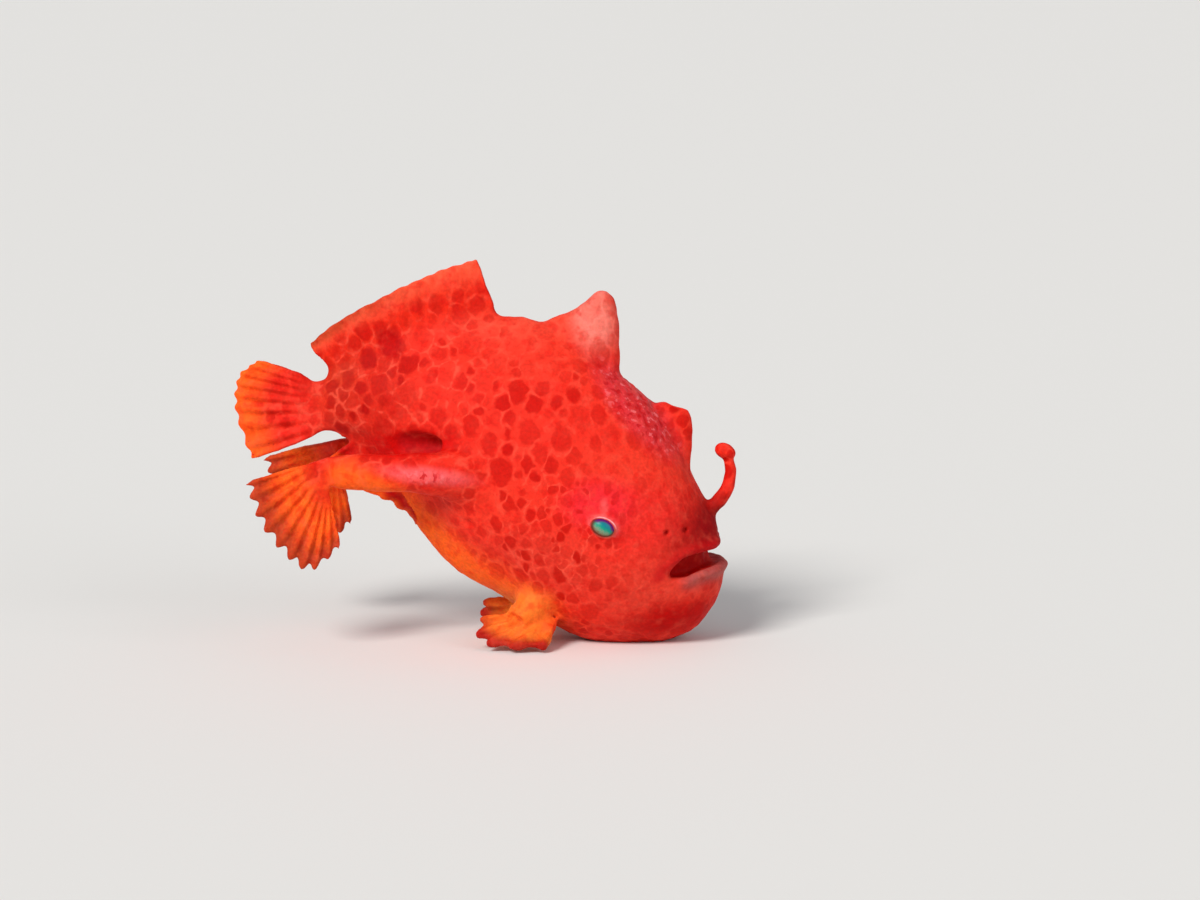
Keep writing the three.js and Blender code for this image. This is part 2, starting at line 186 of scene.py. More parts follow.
# How thick the fins are at the root and the margin, how deep the root is sunk, and how near
# to a fin's middle surface the skin counts as that fin's
FIN_ROOT = 0.4
FIN_EDGE = 0.16
FIN_SUNK = 0.35
FIN_REACH = 0.34

# Over which shares of a fin's reach its rays rise from it and fall back
RAY_RISE = (0.15, 0.5)
RAY_FALL = (0.88, 1.0)

# Mouth, own axes, from its corner to the front of the lips, how wide it opens and how deep;
# how far the lips stand out, the middle and spread of their band, over which share of the
# line they begin, and at which depth under the face they end
MOUTH = [[5.46, -1.34], [5.92, -0.78], [6.48, -0.4], [7.3, 0.0]]
MOUTH_OPEN = 0.78
MOUTH_DEPTH = 0.5
LIP_RISE = 0.1
LIP_BAND = (0.4, 0.14)
LIP_START = (0.02, 0.2)
LIP_END = (0.05, 0.2)

# Pits in each side, own axes: where they are, how far they reach along, in and up
NOSTRILS = [[5.35, 0.1], [4.85, -0.15]]
NOSTRIL_RADII = [0.1, 0.2, 0.1]
GILL_PORE = [-0.7, -2.35]
GILL_PORE_RADII = [0.26, 0.24, 0.16]
ARMPIT = [-3.0, -0.9]
ARMPIT_RADII = [1.2, 0.42, 0.4]

# The eye: its place in own axes, the swelling that carries it, the oval that shows, its
# tilt, how deep it sits, how far it bulges, how much wider it goes on under the skin, and
# the half-width of the head beyond which the skin can lie round it
EYE = {
    "forward": 3.03,
    "up": -0.69,
    "brow_rise": 0.18,
    "brow_radii": [0.85, 0.68, 0.85],
    "long": 0.33,
    "short": 0.245,
    "tilt": math.radians(25),
    "sunk": 0.07,
    "dome": 0.13,
    "spread": 1.2,
    "inner": 1.5,
}

# The hollow that the eye lies in, 1 on the rim of its oval, and the lids: how far they stand
# out, the middle and spread of their ring, and how near to the eye the skin is finer
EYE_HOLLOW = 1.1
LID_RISE = 0.045
LID_BAND = (1.16, 0.14)
LID_REACH = 0.6

# Soft lumps all over the skin, each a height and a size, and the same of the nape's folds
LUMPS = [(0.022, 0.8), (0.01, 0.22)]
NAPE = [2.9, 0, 3.1]
NAPE_RADII = [1.3, 1.0, 1.0]
NAPE_FADE = (0.5, 1.3)
NAPE_FOLDS = (0.04, 0.3)

# The blotches, millimetres: the seed, the middling radius, how unequal they are, the least
# and the greatest, how much taller than wide, how far apart, how often one is tried, how
# far and how finely their rims wander, how dark the palest is, and how many are compared
BLOTCH_SEED = 7
BLOTCH_RADIUS = 0.2
BLOTCH_SPREAD = 0.35
BLOTCH_LIMITS = (0.11, 0.4)
BLOTCH_STRETCH = 1.35
BLOTCH_SPACING = 1.0
BLOTCH_TRIES = 12000
BLOTCH_WANDER = (0.08, 0.26)
BLOTCH_PALEST = 0.25
BLOTCH_NEIGHBOURS = 7

# The grid on which the flesh is joined, and how far it is smoothed at the dorsal fin's root
# and the arm's fold, where its parts meet, at the lips, and everywhere
VOXEL = 0.04
ROOT_SMOOTHING = 0.4
SEAM_SMOOTHING = 0.22
LIP_SMOOTHING = 0.16
EVEN_SMOOTHING = 0.05

# Over which distances the smoothing ends, in pixels for the fold and in radii for the armpit
ROOT_FADE = (0.3, 0.9)
SEAM_FADE = (0.08, 0.4)
LIP_FADE = (0.35, 0.55)
CREASE_FADE = (10, 22)
ARMPIT_FADE = (1.1, 1.7)
ARMPIT_INNER = 0.7

# Least height of the skin over the floor, and steps in which lines are measured
LOWEST = 0.004
LINE_STEPS = 60
FLANK_STEPS = 400

# The camera, millimetres, what it looks at, and the picture's size in pixels
LENS = 100.0
SENSOR = 36.0
CAMERA_DISTANCE = 100.0
CAMERA_ELEVATION = math.radians(8)
CAMERA_AIM = [2.4, 0, 5.75]
PICTURE_SIZE = (1200, 900)

# The fold under the arm in the picture, where it passes into the belly
ARM_CREASE = [[392, 506], [430, 503], [472, 498]]

# Lights: direction, spread in degrees, strength and colour; and the floor, metres, and sky
LIGHTS = {
    "key": ((-0.6, -1.0, 0.9), 22, 2.9, (1.0, 0.98, 0.95)),
    "fill": ((0.9, -0.8, 0.5), 40, 0.6, (0.97, 0.98, 1.0)),
}
FLOOR_HALF_WIDTH = 12.0
FLOOR_COLOUR = (0.80, 0.79, 0.77)
SKY_COLOUR = (0.90, 0.92, 0.95)
SKY_STRENGTH = 0.4


# Curves

def blend(rows, t):
    """Catmull-Rom through evenly spaced rows of values, at each t from 0 to 1."""
    rows = np.asarray(rows, float)
    t = np.atleast_1d(t)
    last = len(rows) - 1
    i = np.minimum((t * last).astype(int), last - 1)
    w = (t * last - i).reshape((-1,) + (1,) * (rows.ndim - 1))
    a, b = rows[np.maximum(i - 1, 0)], rows[i]
    c, d = rows[i + 1], rows[np.minimum(i + 2, last)]
    return b + 0.5 * w * (c - a + w * (2 * a - 5 * b + 4 * c - d + w * (3 * (b - c) + d - a)))


def ease(value, start, end):
    """0 at start, 1 at end, smooth between."""
    t = np.minimum(np.maximum((value - start) / (end - start), 0), 1)
    return t * t * (3 - 2 * t)


def hump(value, centre, spread):
    """1 at the centre, falling to 0 on both sides."""
    return np.exp(-(((value - centre) / spread) ** 2))


# Axes

def levelled(points):
    """Own axes to level ones, with the floor at height 0."""
    x, y, z = np.asarray(points, float).T
    turned_x = x * math.cos(PITCH) + z * math.sin(PITCH)
    height = CENTRE_HEIGHT - x * math.sin(PITCH) + z * math.cos(PITCH)
    return np.column_stack([turned_x, y, height])


def own(points):
    """Level axes back to the fish's own."""
    x, y, z = np.asarray(points, float).T
    z = z - CENTRE_HEIGHT
    turned_x = x * math.cos(PITCH) - z * math.sin(PITCH)
    return np.column_stack([turned_x, y, x * math.sin(PITCH) + z * math.cos(PITCH)])


def flank_at(x, z):
    """The body's half-width at a point of the side view."""
    rows = blend(BODY, np.linspace(1 / FLANK_STEPS, 1, FLANK_STEPS))
    bx, bz, vx, vz, half = rows.T
    length = np.hypot(bx - vx, bz - vz)
    share = ((x - vx) * (bx - vx) + (z - vz) * (bz - vz)) / length**2
    miss = np.abs((x - vx) * (bz - vz) - (z - vz) * (bx - vx)) / length
    miss[(share <= 0) | (share >= 1)] = np.inf
    i = int(np.argmin(miss))
    s = share[i]
    rise = (s - WIDEST) / (1 - WIDEST) if s > WIDEST else (WIDEST - s) / WIDEST
    return float(half[i] * math.sqrt(1 - rise * rise))


def eye_centre(side):
    """The middle of an eye's oval on its swelling, level axes."""
    skin = flank_at(EYE["forward"], EYE["up"]) + EYE["brow_rise"]
    return levelled([[EYE["forward"], side * skin, EYE["up"]]])[0]


# How far the frame's solids stand forward of the level axes
low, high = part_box("eye_right")
SHIFT = (low.x + high.x) / 2 / MM - eye_centre(RIGHT)[0]


# Closed shapes, each a pair of points and faces

def tube(rings):
    """Rings of points joined into a tube and closed at both ends."""
    count, around = rings.shape[:2]
    points = rings.reshape(-1, 3)
    faces = []
    for i in range(count - 1):
        for j in range(around):
            a, b = i * around + j, i * around + (j + 1) % around
            faces.append((a, b, b + around, a + around))
    faces.append(tuple(range(around))[::-1])
    faces.append(tuple(range((count - 1) * around, count * around)))
    return points, faces


def sliced(rows, rings=80, around=96, pinch=0.0):
    """A solid with oval slices that stand between two edge lines in the middle plane,
    pinched towards those edges in its last part."""
    t = np.linspace(0, 1, rings)
    values = blend(rows, t)
    zero = np.zeros(rings)
    front = np.column_stack([values[:, 0], zero, values[:, 1]])
    rear = np.column_stack([values[:, 2], zero, values[:, 3]])
    half = np.maximum(values[:, 4], 0.001)
    centre = rear + WIDEST * (front - rear)
    angle = np.linspace(0, 2 * math.pi, around, endpoint=False)
    rise = np.cos(angle)[None, :, None]
    toward = np.where(rise > 0, (front - centre)[:, None], (rear - centre)[:, None])
    ring = centre[:, None] + toward * np.abs(rise)
    pinched = ease(t, *PINCH_ALONG)[:, None] * ease(np.abs(np.cos(angle)), *PINCH_AROUND)
    ring[:, :, 1] = half[:, None] * np.sin(angle) * (1 - pinch * pinched)
    return ring


def limb(spec, rings=40, around=40):
    """A tapered limb along a path, oval across."""
    t = np.linspace(0, 1, rings)
    centre = blend(spec["path"], t)
    tangent = np.gradient(centre, axis=0)
    across = unit(np.cross(tangent, spec["upright"]))
    rise = unit(np.cross(across, tangent))
    angle = np.linspace(0, 2 * math.pi, around, endpoint=False)
    up = blend(spec["high"], t)[:, None, None] * np.cos(angle)[None, :, None]
    side = blend(spec["wide"], t)[:, None, None] * np.sin(angle)[None, :, None]
    return centre[:, None] + up * rise[:, None] + side * across[:, None]


def ball(centre, radii, rings=24, around=32):
    """An egg shape, a little open at its poles for the tube's end caps."""
    polar = np.linspace(0.05, math.pi - 0.05, rings)
    angle = np.linspace(0, 2 * math.pi, around, endpoint=False)
    ring = np.empty((rings, around, 3))
    ring[:, :, 0] = centre[0] + radii[0] * np.cos(polar)[:, None]
    ring[:, :, 1] = centre[1] + radii[1] * np.sin(polar)[:, None] * np.cos(angle)
    ring[:, :, 2] = centre[2] + radii[2] * np.sin(polar)[:, None] * np.sin(angle)
    return ring


def fin_grid(spec, per_ray, rows):
    """The middle surface of a fin as a grid of points, root to margin along the rows."""
    u = np.linspace(0, 1, (spec["rays"] - 1) * per_ray + 1)
    v = np.linspace(0, 1, rows)
    ridge = 0.5 + 0.5 * np.cos(2 * math.pi * u * (spec["rays"] - 1))
    reach = v[None, :] * (1 - spec["scallop"] * (1 - spec["notch"] * ridge))[:, None]
    root, margin = blend(spec["root"], u), blend(spec["margin"], u)
    return root[:, None] + reach[:, :, None] * (margin - root)[:, None]


def fin(spec):
    """A thin closed fin, its root sunk in the flesh."""
    grid = fin_grid(spec, 10, 20)
    along = np.gradient(grid, axis=0)
    outwards = np.gradient(grid, axis=1)
    normal = unit(np.cross(along, outwards))
    v = np.linspace(0, 1, grid.shape[1])
    half = 0.5 * (FIN_ROOT + (FIN_EDGE - FIN_ROOT) * v**1.5)[None, :, None]
    grid = grid - (FIN_SUNK * (1 - v) ** 4)[None, :, None] * unit(outwards)
    near, far = grid + half * normal, grid - half * normal
    loops = np.concatenate([near, far[:, ::-1]], axis=1)
    return tube(loops)


def unit(vectors):
    return vectors / np.linalg.norm(vectors, axis=-1, keepdims=True)


def mirrored(shape):
    """The shape's twin on the other side."""
    points, faces = shape
    return points * [1, -1, 1], [face[::-1] for face in faces]


def mouth_band():
    """A wedge that follows the mouth line across the head, widest behind the lips."""
    t = np.linspace(0, 1, 24)
    centre = blend(MOUTH, t)
    tangent = unit(np.gradient(centre, axis=0))
    normal = np.column_stack([-tangent[:, 1], tangent[:, 0]])
    half = 0.5 * MOUTH_OPEN * np.minimum(1, 0.15 + 3.2 * t) * (1 - 0.5 * t)
    reach = half[:, None] * normal
    outline = np.concatenate([centre + reach, (centre - reach)[::-1]])
    ring = np.column_stack([outline[:, 0], np.zeros(len(outline)), outline[:, 1]])
    return tube(np.stack([ring + [0, side * 4, 0] for side in (RIGHT, LEFT)]))


# Mesh work

def object_of(name, shape):
    """An object of a shape, its faces turned outwards."""
    points, faces = shape
    mesh = bpy.data.meshes.new(name)
    mesh.from_pydata(np.asarray(points).tolist(), [], faces)
    work = bmesh.new()
    work.from_mesh(mesh)
    bmesh.ops.recalc_face_normals(work, faces=work.faces)
    work.to_mesh(mesh)
    work.free()
    obj = bpy.data.objects.new(name, mesh)
    bpy.context.collection.objects.link(obj)
    return obj


def together(shapes):
    """Several shapes as one."""
    points, faces, start = [], [], 0
    for shape_points, shape_faces in shapes:
        points.append(shape_points)
        faces += [tuple(start + n for n in face) for face in shape_faces]
        start += len(shape_points)
    return np.concatenate(points), faces


def finished(obj):
    """The mesh of an object with its modifiers, and the object gone."""
    graph = bpy.context.evaluated_depsgraph_get()
    mesh = bpy.data.meshes.new_from_object(obj.evaluated_get(graph))
    bpy.data.objects.remove(obj)
    return mesh


def shape_of(mesh):
    return points_of(mesh), [tuple(face.vertices) for face in mesh.polygons]


def points_of(mesh):
    points = np.empty(len(mesh.vertices) * 3)
    mesh.vertices.foreach_get("co", points)
    return points.reshape(-1, 3)


def normals_of(mesh):
    normals = np.empty(len(mesh.vertices) * 3)
    mesh.vertex_normals.foreach_get("vector", normals)
    return normals.reshape(-1, 3)


def edges_of(mesh):
    edges = np.empty(len(mesh.edges) * 2, int)
    mesh.edges.foreach_get("vertices", edges)
    return edges.reshape(-1, 2)


def place(mesh, points):
    mesh.vertices.foreach_set("co", np.ascontiguousarray(points).ravel())
    mesh.update()


def fused(shapes, voxel):
    """One closed surface round several overlapping shapes."""
    obj = object_of("fused", together(shapes))
    modifier = obj.modifiers.new("voxels", "REMESH")
    modifier.mode = "VOXEL"
    modifier.voxel_size = voxel
    return finished(obj)


def cut(shape, tool):
    """A shape less another."""
    obj, cutter = object_of("shape", shape), object_of("cutter", tool)
    modifier = obj.modifiers.new("cut", "BOOLEAN")
    modifier.operation = "DIFFERENCE"
    modifier.solver = "EXACT"
    modifier.object = cutter
    mesh = finished(obj)
    bpy.data.objects.remove(cutter)
    return shape_of(mesh)


def smoothed(points, edges, weights, reach):
    """Evens out the surface over that reach, where the weights are above 0."""
    a, b = edges.T
    count = np.bincount(edges.ravel(), minlength=len(points))[:, None]
    for _ in range(round(2 * (reach / VOXEL) ** 2)):
        total = np.column_stack([
            np.bincount(a, points[b, k], len(points)) + np.bincount(b, points[a, k], len(points))
            for k in range(3)
        ])
        points = points + 0.5 * weights[:, None] * (total / count - points)
    return points


def distance_to(shape, points, reach):
    """Distance of each point to a shape's surface, at most reach."""
    tree = BVHTree.FromPolygons(np.asarray(shape[0]).tolist(), shape[1])
    low_corner, high_corner = shape[0].min(0) - reach, shape[0].max(0) + reach
    result = np.full(len(points), float(reach))
    near = np.nonzero(np.all((points > low_corner) & (points < high_corner), axis=1))[0]
    for n in near:
        hit = tree.find_nearest(points[n], reach)
        if hit[3] is not None:
            result[n] = hit[3]
    return result


def tree_of(points):
    """A tree that finds the nearest of the points."""
    tree = KDTree(len(points))
    for n, point in enumerate(points):
        tree.insert(point, n)
    tree.balance()
    return tree


# The flesh

def body_shape():
    """The body with its mouth cut in, own axes."""
    body = tube(sliced(BODY, pinch=REAR_PINCH))
    rows = np.array(BODY) - [MOUTH_DEPTH, 0, MOUTH_DEPTH, 0, MOUTH_DEPTH]
    rows[:, 4] = np.maximum(rows[:, 4], 0.02)
    core = tube(sliced(rows, 48, 48))
    return cut(body, cut(mouth_band(), core))


def pit(place_on, side, radii, tilt=0.0):
    """An egg shape in the surface of the flank, for cutting."""
    points, faces = tube(ball([0, 0, 0], radii))
    x, y, z = points.T
    turned = np.column_stack([
        x * math.cos(tilt) + z * math.sin(tilt), y, z * math.cos(tilt) - x * math.sin(tilt)
    ])
    forward, up = place_on
    return turned + [forward, side * flank_at(forward, up), up], faces


def with_pits(shape):
    """The body with nostrils, gill pores and the hollows above the arms cut in."""
    for side in (RIGHT, LEFT):
        for nostril in NOSTRILS:
            shape = cut(shape, pit(nostril, side, NOSTRIL_RADII))
        shape = cut(shape, pit(GILL_PORE, side, GILL_PORE_RADII))
        shape = cut(shape, pit(ARMPIT, side, ARMPIT_RADII, -PITCH))
    return shape


def brow(side):
    """The low swelling that carries an eye."""
    x, z = EYE["forward"], EYE["up"]
    deep = EYE["brow_radii"][1]
    centre = [x, side * (flank_at(x, z) + EYE["brow_rise"] - deep), z]
    return tube(ball(centre, EYE["brow_radii"]))


def lure():
    """The rod with its round tip."""
    path = [[x, 0, z] for x, z in ROD]
    rod = {"path": path, "high": ROD_RADIUS, "wide": ROD_RADIUS, "upright": [1, 0, 0.5]}
    x, z = ROD[-1]
    bait = ball([x, 0, z], np.array([1.25, 1, 0.9]) * LURE_RADIUS)
    return together([tube(limb(rod, 24, 20)), tube(bait)])


def shapes_of_flesh():
    """Every part of the flesh by name, level axes."""
    plain = {
        "body": with_pits(body_shape()),
        "third_spine": tube(sliced(THIRD_SPINE, 40, 48)),
        "second_spine": tube(sliced(SECOND_SPINE, 40, 40)),
        "lure": lure(),
        "soft_dorsal": fin(SOFT_DORSAL),
        "anal": fin(ANAL),
        "caudal": fin(CAUDAL),
        "brow_right": brow(RIGHT),
        "brow_left": brow(LEFT),
        "arm_right": tube(limb(ARM)),
        "hand_right": fin(HAND),
        "ankle_right": tube(limb(ANKLE)),
    }
    result = {name: (levelled(points), faces) for name, (points, faces) in plain.items()}
    result["foot_right"] = fin(FOOT)
    for name in ("arm", "hand", "ankle", "foot"):
        result[name + "_left"] = mirrored(result[name + "_right"])
    return result


def joined_flesh():
    """One surface round all the flesh, smoothed where its parts meet."""
    shapes = shapes_of_flesh()
    mesh = fused(shapes.values(), VOXEL)
    points = points_of(mesh)
    edges = edges_of(mesh)
    reach = SEAM_FADE[1]
    distances = np.array([distance_to(shape, points, reach) for shape in shapes.values()])
    seam = 1 - ease(np.partition(distances, 1, axis=0)[1], *SEAM_FADE)
    seam = np.maximum(seam, round_armpit(points))
    flat = own(points)[:, [0, 2]]
    lips = 1 - ease(along_line(flat, MOUTH)[0], *LIP_FADE)
    dorsal_root = np.array(SOFT_DORSAL["root"])[:, [0, 2]]
    dorsal = 1 - ease(along_line(flat, dorsal_root)[0], *ROOT_FADE)
    crease = 1 - ease(along_line(picture(points), ARM_CREASE)[0], *CREASE_FADE)
    points = smoothed(points, edges, np.maximum(dorsal, crease), ROOT_SMOOTHING)
    points = smoothed(points, edges, seam, SEAM_SMOOTHING)
    points = smoothed(points, edges, lips, LIP_SMOOTHING)
    points = smoothed(points, edges, np.ones(len(points)), EVEN_SMOOTHING)
    place(mesh, points)
    return finer_round_eyes(mesh)


def round_armpit(points):
    """1 in the hollow above an arm, easing to 0 round it."""
    middle = levelled([[ARMPIT[0], 0, ARMPIT[1]]])[0]
    along, _, up = ((points - middle) / ARMPIT_RADII).T
    near = 1 - ease(np.hypot(along, up), *ARMPIT_FADE)
    return near * (np.abs(points[:, 1]) > ARMPIT_INNER)


def finer_round_eyes(mesh):
    """Splits the faces near each eye, so that the lids come out crisp."""
    centres = np.array([eye_centre(side) for side in (RIGHT, LEFT)])
    gap = np.linalg.norm(points_of(mesh)[:, None] - centres, axis=2).min(axis=1)
    work = bmesh.new()
    work.from_mesh(mesh)
    edges = [e for e in work.edges if max(gap[v.index] for v in e.verts) < LID_REACH]
    bmesh.ops.subdivide_edges(work, edges=edges, cuts=2, use_grid_fill=True)
    work.to_mesh(mesh)
    work.free()
    return mesh


# Where each point of the skin lies

def picture(points):
    """Where the camera sees points of the right side, in the picture's pixels. Points of
    the left side are taken across to the right."""
    points = points * [1, -1, 1]
    points[:, 1] = -np.abs(points[:, 1])
    x, y, z = (points - CAMERA_AIM).T
    rise = math.sin(CAMERA_ELEVATION)
    run = math.cos(CAMERA_ELEVATION)
    away = CAMERA_DISTANCE + y * run - z * rise
    scale = PICTURE_SIZE[0] * LENS / SENSOR / away
    return np.column_stack([
        PICTURE_SIZE[0] / 2 + x * scale, PICTURE_SIZE[1] / 2 - (z * run + y * rise) * scale
    ])


def oval(seen, centre, radii, tilt, soft):
    """1 inside an oval of the picture, easing to 0 over its rim."""
    dx, dy = (seen - centre).T
    turn = math.radians(tilt)
    a = (dx * math.cos(turn) + dy * math.sin(turn)) / radii[0]
    b = (dy * math.cos(turn) - dx * math.sin(turn)) / radii[1]
    return 1 - ease(np.hypot(a, b), 1 - soft, 1 + soft)


def along_line(flat, line):
    """Distance to a line of the side view, and the share along it, for each point."""
    steps = blend(line, np.linspace(0, 1, LINE_STEPS))
    gaps = np.hypot(flat[:, None, 0] - steps[:, 0], flat[:, None, 1] - steps[:, 1])
    nearest = gaps.argmin(axis=1)
    return gaps[np.arange(len(flat)), nearest], nearest / (LINE_STEPS - 1)


def body_place(points):
    """Share of the length from the lips, share of the height from the belly, and the
    depth under the plain body, for each point."""
    rings = sliced(BODY, pinch=REAR_PINCH)
    count, around = rings.shape[:2]
    shape = (levelled(rings.reshape(-1, 3)), tube(rings)[1])
    tree = tree_of(shape[0])
    nearest = np.array([tree.find(point)[1] for point in points])
    angle = 2 * math.pi * (nearest % around) / around
    surface = BVHTree.FromPolygons(shape[0].tolist(), shape[1])
    depth = np.empty(len(points))
    middle = shape[0].mean(axis=0)
    for n, point in enumerate(points):
        place_on, normal, _, gap = surface.find_nearest(point)
        inward = Vector(point) - place_on
        outward = normal if normal.dot(place_on - Vector(middle)) > 0 else -normal
        depth[n] = math.copysign(gap, -inward.dot(outward))
    return nearest // around / (count - 1), 0.5 + 0.5 * np.cos(angle), depth


def fin_place(points):
    """Index of the fin each point belongs to or -1, and its shares across and along it."""
    index = np.full(len(points), -1)
    across = np.zeros(len(points))
    out = np.zeros(len(points))
    gap = np.full(len(points), FIN_REACH)
    for n, (spec, level) in enumerate(FINS):
        grid = fin_grid(spec, 12, 40)
        columns, rows = grid.shape[:2]
        grid = grid.reshape(-1, 3) if level else levelled(grid.reshape(-1, 3))
        tree = tree_of(grid)
        low_corner, high_corner = grid.min(0) - FIN_REACH, grid.max(0) + FIN_REACH
        for side in (RIGHT, LEFT):
            there = points * [1, -side, 1]
            box = np.all((there > low_corner) & (there < high_corner), axis=1)
            for k in np.nonzero(box)[0]:
                _, hit, distance = tree.find(there[k])
                if distance < gap[k]:
                    gap[k], index[k] = distance, n
                    across[k], out[k] = hit // rows / (columns - 1), hit % rows / (rows - 1)
    return index, across, out


def eye_place(points):
    """Distance from the nearer eye's middle, 1 on the rim of its oval, and how far above
    its long axis."""
    cx, _, cz = eye_centre(RIGHT)
    dx, dz = points[:, 0] - cx, points[:, 2] - cz
    a = (dx * math.cos(EYE["tilt"]) - dz * math.sin(EYE["tilt"])) / EYE["long"]
    b = (dx * math.sin(EYE["tilt"]) + dz * math.cos(EYE["tilt"])) / EYE["short"]
    away = np.where(np.abs(points[:, 1]) > EYE["inner"], np.hypot(a, b), np.inf)
    return away, b


# Fine form

def rough(points, size):
    """Even noise from -1 to 1 with lumps of that size."""
    return np.array([noise.noise(Vector(p) / size) for p in points]) * 1.4


def shaped(mesh, fields):
    """Lips, lids, fin rays and soft unevenness."""
    points, normals = points_of(mesh), normals_of(mesh)
    push = sum(height * rough(points, size) for height, size in LUMPS)
    on_face = 1 - ease(fields["depth"], *LIP_END)
    lip = hump(fields["mouth_gap"], *LIP_BAND) * ease(fields["mouth_share"], *LIP_START)
    push += LIP_RISE * lip * on_face
    nape = np.linalg.norm((points - levelled([NAPE])[0]) / NAPE_RADII, axis=1)
    fold_height, fold_size = NAPE_FOLDS
    push += fold_height * (1 - ease(nape, *NAPE_FADE)) * rough(points, fold_size)
    away = fields["eye_gap"]
    push -= EYE["sunk"] * np.exp(-((away / EYE_HOLLOW) ** 6))
    push += LID_RISE * hump(away, *LID_BAND)
    out = fields["fin_out"]
    rise = ease(out, *RAY_RISE) * (1 - ease(out, *RAY_FALL))
    for n, (spec, _) in enumerate(FINS):
        ridge = np.cos(2 * math.pi * fields["fin_across"] * (spec["rays"] - 1))
        push += np.where(fields["fin"] == n, spec["relief"] * ridge * rise, 0)
    points = points + push[:, None] * normals
    points[:, 2] = np.maximum(points[:, 2], LOWEST)
    place(mesh, points)


def blotches(points, size):
    """Rounded blotches of many sizes strewn over the skin: for each point how far it is
    outside the nearest one's rim, how much nearer that rim is than the next one's, both
    in millimetres where the size is 1, and how dark that blotch is."""
    random = np.random.default_rng(BLOTCH_SEED)
    far, fine = BLOTCH_WANDER
    wander = np.column_stack([rough(points + shift, fine) for shift in (0, 20, 40)])
    flat = (points + far * wander) * [1, 1, 1 / BLOTCH_STRETCH]
    tries = random.choice(len(points), min(BLOTCH_TRIES, len(points)), replace=False)
    radii = BLOTCH_RADIUS * np.exp(BLOTCH_SPREAD * random.standard_normal(len(tries)))
    radii = np.clip(radii, *BLOTCH_LIMITS) * size[tries]
    centres, rims = np.empty((len(tries), 3)), np.empty(len(tries))
    count = 0
    for k, radius in zip(tries, radii):
        gaps = np.linalg.norm(centres[:count] - flat[k], axis=1)
        if np.all(gaps > BLOTCH_SPACING * (rims[:count] + radius)):
            centres[count], rims[count] = flat[k], radius
            count += 1
    shades = BLOTCH_PALEST + (1 - BLOTCH_PALEST) * random.uniform(0, 1, count) ** 1.2
    tree = tree_of(centres[:count])
    outside, lead, shade = np.empty((3, len(points)))
    for n, point in enumerate(flat):
        hits = tree.find_n(point, BLOTCH_NEIGHBOURS)
        near = sorted((distance - rims[k], k) for _, k, distance in hits)
        outside[n] = near[0][0]
        lead[n] = near[1][0] - near[0][0]
        shade[n] = shades[near[0][1]]
    return outside / size, lead / size, shade


# Colours over the skin, as light values from 0 to 1

RED = (0.76, 0.026, 0.012)
SALMON = (0.77, 0.036, 0.016)
PEACH = (0.85, 0.095, 0.05)
REAR_RED = (0.56, 0.015, 0.005)
DORSAL_RED = (0.7, 0.019, 0.005)
FACE_RED = (0.74, 0.023, 0.015)
CHEEK_RED = (0.67, 0.04, 0.021)
HALO = (0.77, 0.018, 0.028)
# Orange: the margins of some fins, and the belly's painted glow
ORANGE = (0.93, 0.118, 0.01)
DORSAL_EDGE = (0.86, 0.085, 0.036)
FOOT_ORANGE = (0.84, 0.18, 0.02)
TOE_RED = (0.4, 0.012, 0.006)
# Painted shade: crimson over the upper lip, in the pits and in the hollows of the wet folds
SHADE_CRIMSON = (0.5, 0.004, 0.006)
# Painted shade on the snout over the mouth
SNOUT_SHADE = (0.27, 0.0, 0.001)
# Painted shade inside the mouth
MOUTH_SHADE = (0.44, 0.0, 0.0)
# Deep red: the dorsal spot's own colour, and painted shade under the chin and on the anal fin
# behind the arm
DEEP_RED = (0.48, 0.001, 0.0)
# Painted shade in the hollow above the arm
ARMPIT_SHADE = (0.59, 0.001, 0.0)
NAPE_PINK = (0.68, 0.032, 0.04)
# Painted highlight: pink sheen on the top of the arm
RIDGE_HIGHLIGHT = (0.85, 0.115, 0.12)
DULL_PINK = (0.4, 0.075, 0.066)
# Pale pink for the ring round the eye, and a painted highlight above the eye
PALE_PINK = (0.8, 0.13, 0.125)
SPINE_PINK = (0.8, 0.23, 0.18)
# Painted glint on the crests of the wet folds
GLINT = (0.83, 0.15, 0.16)
# Painted highlight along the upper lid
LID_HIGHLIGHT = (0.9, 0.4, 0.42)
LID_TAN = (0.32, 0.045, 0.03)
FIN_BROWN = (0.46, 0.045, 0.01)
BLOTCH_SHADE = (0.69, 0.12, 0.03)
MOTTLE_SHADE = (0.89, 0.42, 0.42)
NET = (0.84, 0.1, 0.056)

# For each fin the colours of its base and margin, and how strong the blotches are on it
FIN_TINTS = [
    (DORSAL_RED, DORSAL_EDGE, 0.9),
    # The anal fin's deep red base is painted shade behind the arm
    (DEEP_RED, ORANGE, 0.3),
    (RED, ORANGE, 0.9),
    (ORANGE, FIN_BROWN, 0.5),
    (FOOT_ORANGE, TOE_RED, 0.2),
]

